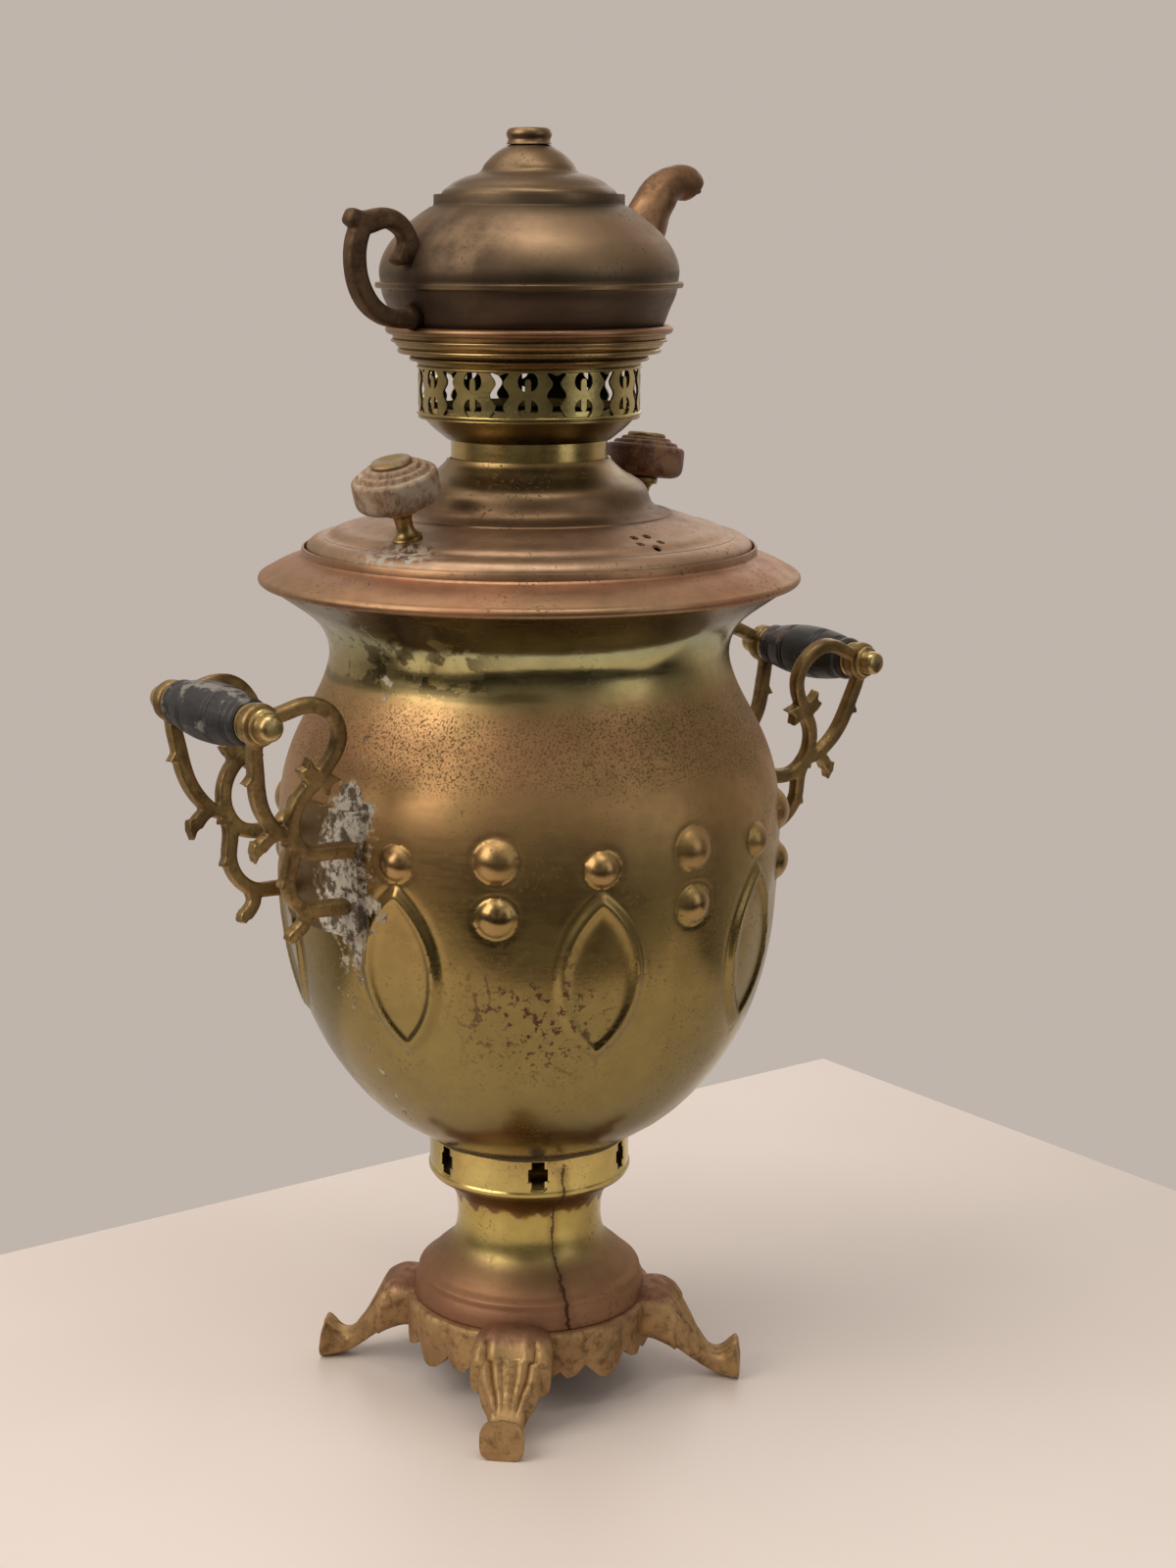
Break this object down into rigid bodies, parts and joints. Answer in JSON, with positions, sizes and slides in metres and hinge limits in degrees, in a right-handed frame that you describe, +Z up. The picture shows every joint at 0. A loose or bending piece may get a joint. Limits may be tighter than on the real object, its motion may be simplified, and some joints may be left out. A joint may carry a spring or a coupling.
{
  "type": "charcoal samovar with teapot",
  "caption": "Urn with a charcoal tube, a tap, a pedestal on a fluted foot, scroll handles with wooden grips, a knobbed lid, a pierced crown and a teapot on top.",
  "frame": {"origin": "on the vessel's axis at the level of the soles of the feet", "axes": "+Z up; the tap faces -Y; the handles stand on the X axis, right at +X and left at -X as a person facing the tap sees them"},
  "size_m": [0.3638, 0.3024, 0.5699],
  "materials": {
    "foot_brass": "sand cast, rough, greenish in the crevices",
    "pedestal_brass": "aged, polished in parts",
    "vessel_brass": "spun, aged with brown speckle, glossy below",
    "rim_brass": "spun, coppery, matt",
    "tube_brass": "spun, heat stained",
    "grate_iron": "rough, sooty",
    "handle_brass": "cast, dark in the recesses",
    "fitting_brass": "turned",
    "tap_brass": "cast and turned",
    "lid_brass": "spun, brown patina",
    "crown_brass": "pierced and spun",
    "pot_brass": "spun, dull brown",
    "pot_cast_brass": "cast, dark brown",
    "grip_wood": "worn, open grained",
    "right_knob_wood": "worn, open grained",
    "left_knob_wood": "worn, open grained"
  },
  "bodies": {
    "vessel": {"foot_casting": "foot_brass", "pedestal_shell": "pedestal_brass", "body_bowl": "vessel_brass", "body_band": "vessel_brass", "body_neck": "vessel_brass", "rim_ring": "rim_brass", "fire_tube": "tube_brass", "chimney": "tube_brass", "grate": "grate_iron", "tap_rosette": "tap_brass", "tap_body": "tap_brass", "handle_plate_left": "handle_brass", "handle_scroll_left_front": "handle_brass", "handle_scroll_left_back": "handle_brass", "handle_grip_left": "grip_wood", "handle_rod_left": "fitting_brass", "handle_washers_left": "fitting_brass", "handle_nuts_left": "fitting_brass", "handle_plate_right": "handle_brass", "handle_scroll_right_front": "handle_brass", "handle_scroll_right_back": "handle_brass", "handle_grip_right": "grip_wood", "handle_rod_right": "fitting_brass", "handle_washers_right": "fitting_brass", "handle_nuts_right": "fitting_brass"},
    "tap_plug": {"tap_key": "tap_brass", "tap_ring": "tap_brass"},
    "lid": {"lid_shell": "lid_brass", "lid_throat": "lid_brass", "lid_skirt": "lid_brass", "lid_posts": "fitting_brass", "lid_knob_right": "right_knob_wood", "lid_knob_left": "left_knob_wood", "lid_knob_caps": "fitting_brass", "lid_nuts": "fitting_brass"},
    "crown": {"crown_cup": "crown_brass", "crown_floor_plate": "crown_brass", "crown_gallery": "crown_brass", "crown_top_ring": "crown_brass"},
    "teapot": {"teapot_upper_shell": "pot_brass", "teapot_mouth_ring": "pot_brass", "teapot_lower_shell": "pot_brass", "teapot_handle": "pot_cast_brass", "teapot_spout": "pot_cast_brass"},
    "teapot_lid": {"teapot_lid": "pot_brass", "teapot_lid_skirt": "pot_brass", "teapot_finial": "pot_brass"}
  },
  "joints": [
    {"name": "tap_key_turn", "type": "hinge", "parent": "vessel", "child": "tap_plug", "pos_m": [0, -0.14097, 0.176], "axis": [0, 0, 1], "continuous": true},
    {"name": "lid_lift", "type": "slide", "parent": "vessel", "child": "lid", "axis": [0, 0, 1], "range_m": [0, 0.08]},
    {"name": "crown_lift", "type": "slide", "parent": "lid", "child": "crown", "axis": [0, 0, 1], "range_m": [0, 0.03]},
    {"name": "teapot_lift", "type": "slide", "parent": "crown", "child": "teapot", "axis": [0, 0, 1], "range_m": [0, 0.05]},
    {"name": "teapot_lid_lift", "type": "slide", "parent": "teapot", "child": "teapot_lid", "axis": [0, 0, 1], "range_m": [0, 0.04]}
  ]
}
